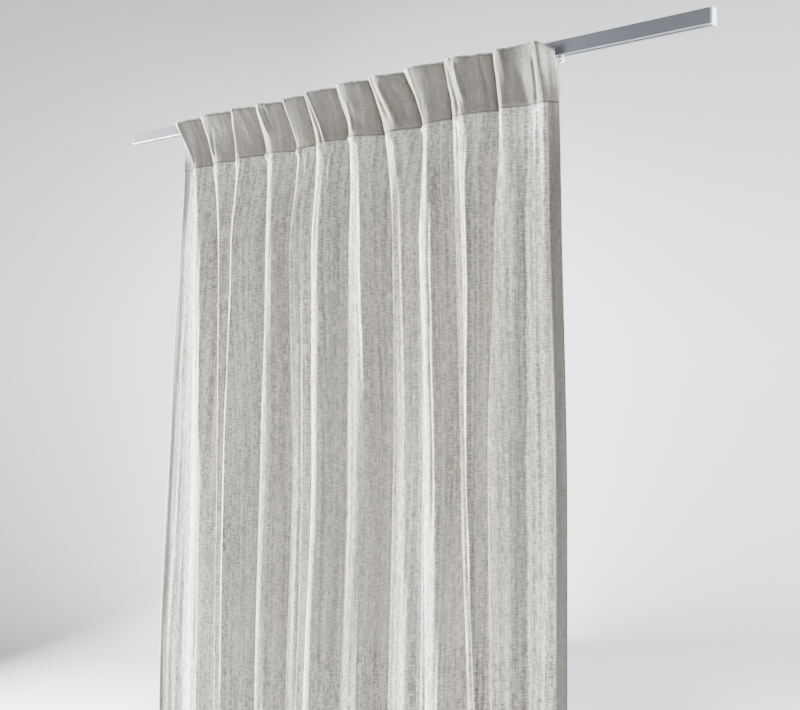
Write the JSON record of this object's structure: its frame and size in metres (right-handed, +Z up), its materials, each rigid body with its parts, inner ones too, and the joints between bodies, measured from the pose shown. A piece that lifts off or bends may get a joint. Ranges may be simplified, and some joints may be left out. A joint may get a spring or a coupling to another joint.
{
  "type": "curtain on a rail",
  "caption": "Sheer crinkled linen curtain with a deep heading, hanging in soft uneven folds from gliders and hooks in a plain flat aluminium ceiling rail.",
  "frame": {"origin": "middle of the rail's top face, where it meets the ceiling", "axes": "+X along the rail, to the right as seen from the room; +Y away from the room, toward the window; +Z up"},
  "size_m": [1.4066, 0.0751, 2.507],
  "materials": {
    "linen": "sheer slubby linen gauze, warm grey to off-white",
    "aluminium": "satin, drawn along its length",
    "cap_plastic": "moulded, light grey",
    "glider_plastic": "moulded, white",
    "steel_wire": "bright zinc-plated wire"
  },
  "bodies": {
    "root": {"rail": "aluminium", "end_cap_left": "cap_plastic", "end_cap_right": "cap_plastic", "curtain_cloth": "linen", "glider_01": "glider_plastic", "hook_01": "steel_wire", "glider_02": "glider_plastic", "hook_02": "steel_wire", "glider_03": "glider_plastic", "hook_03": "steel_wire", "glider_04": "glider_plastic", "hook_04": "steel_wire", "glider_05": "glider_plastic", "hook_05": "steel_wire", "glider_06": "glider_plastic", "hook_06": "steel_wire", "glider_07": "glider_plastic", "hook_07": "steel_wire", "glider_08": "glider_plastic", "hook_08": "steel_wire", "glider_09": "glider_plastic", "hook_09": "steel_wire", "glider_10": "glider_plastic", "hook_10": "steel_wire", "glider_11": "glider_plastic", "hook_11": "steel_wire", "glider_12": "glider_plastic", "hook_12": "steel_wire"}
  },
  "joints": []
}
